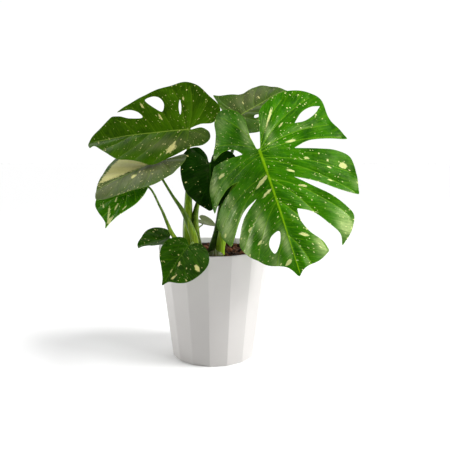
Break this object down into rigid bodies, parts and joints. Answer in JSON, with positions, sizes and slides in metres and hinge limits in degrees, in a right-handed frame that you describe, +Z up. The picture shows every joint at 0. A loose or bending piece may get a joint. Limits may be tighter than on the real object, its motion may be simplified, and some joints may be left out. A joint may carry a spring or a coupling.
{
  "type": "potted monstera plant",
  "caption": "Variegated monstera with split and heart-shaped leaves on long stalks, growing from soil in a nursery pot inside a faceted planter.",
  "frame": {"origin": "centre of the planter's flat underside, on the floor", "axes": "+Z up along the planter's axis, -Y towards the front, +X towards the largest leaf"},
  "size_m": [0.3803, 0.275, 0.4199],
  "materials": {
    "glazed_planter": "warm white satin",
    "black_plastic": "thin moulded plastic",
    "potting_soil": "damp crumbly soil",
    "bark": "reddish bark",
    "variegated_leaf": "glossy green with cream flecks",
    "dark_leaf": "glossy dark green",
    "green_stalk": "smooth green",
    "pale_stem": "yellow-green sheath"
  },
  "bodies": {
    "root": {"planter": "glazed_planter", "nursery_pot": "black_plastic", "soil": "potting_soil", "bark_chip_1": "bark", "bark_chip_2": "bark", "bark_chip_3": "bark", "bark_chip_4": "bark", "bark_chip_5": "bark", "bark_chip_6": "bark", "bark_chip_7": "bark", "bark_chip_8": "bark", "stem_left": "pale_stem", "stem_right": "pale_stem", "bud_sheath": "pale_stem", "stalk_front_right": "green_stalk", "stalk_top_back": "green_stalk", "stalk_top_left": "green_stalk", "stalk_centre": "green_stalk", "stalk_middle_left": "green_stalk", "stalk_lower_left": "green_stalk", "stalk_small_left": "green_stalk", "stalk_over_rim": "green_stalk", "stalk_small_back": "green_stalk", "leaf_front_right": "variegated_leaf", "leaf_top_left": "variegated_leaf", "leaf_middle_left": "variegated_leaf", "leaf_lower_left": "variegated_leaf", "leaf_centre": "dark_leaf", "leaf_small_left": "variegated_leaf", "leaf_over_rim": "variegated_leaf", "leaf_small_back": "dark_leaf", "leaf_top_back": "dark_leaf"}
  },
  "joints": []
}
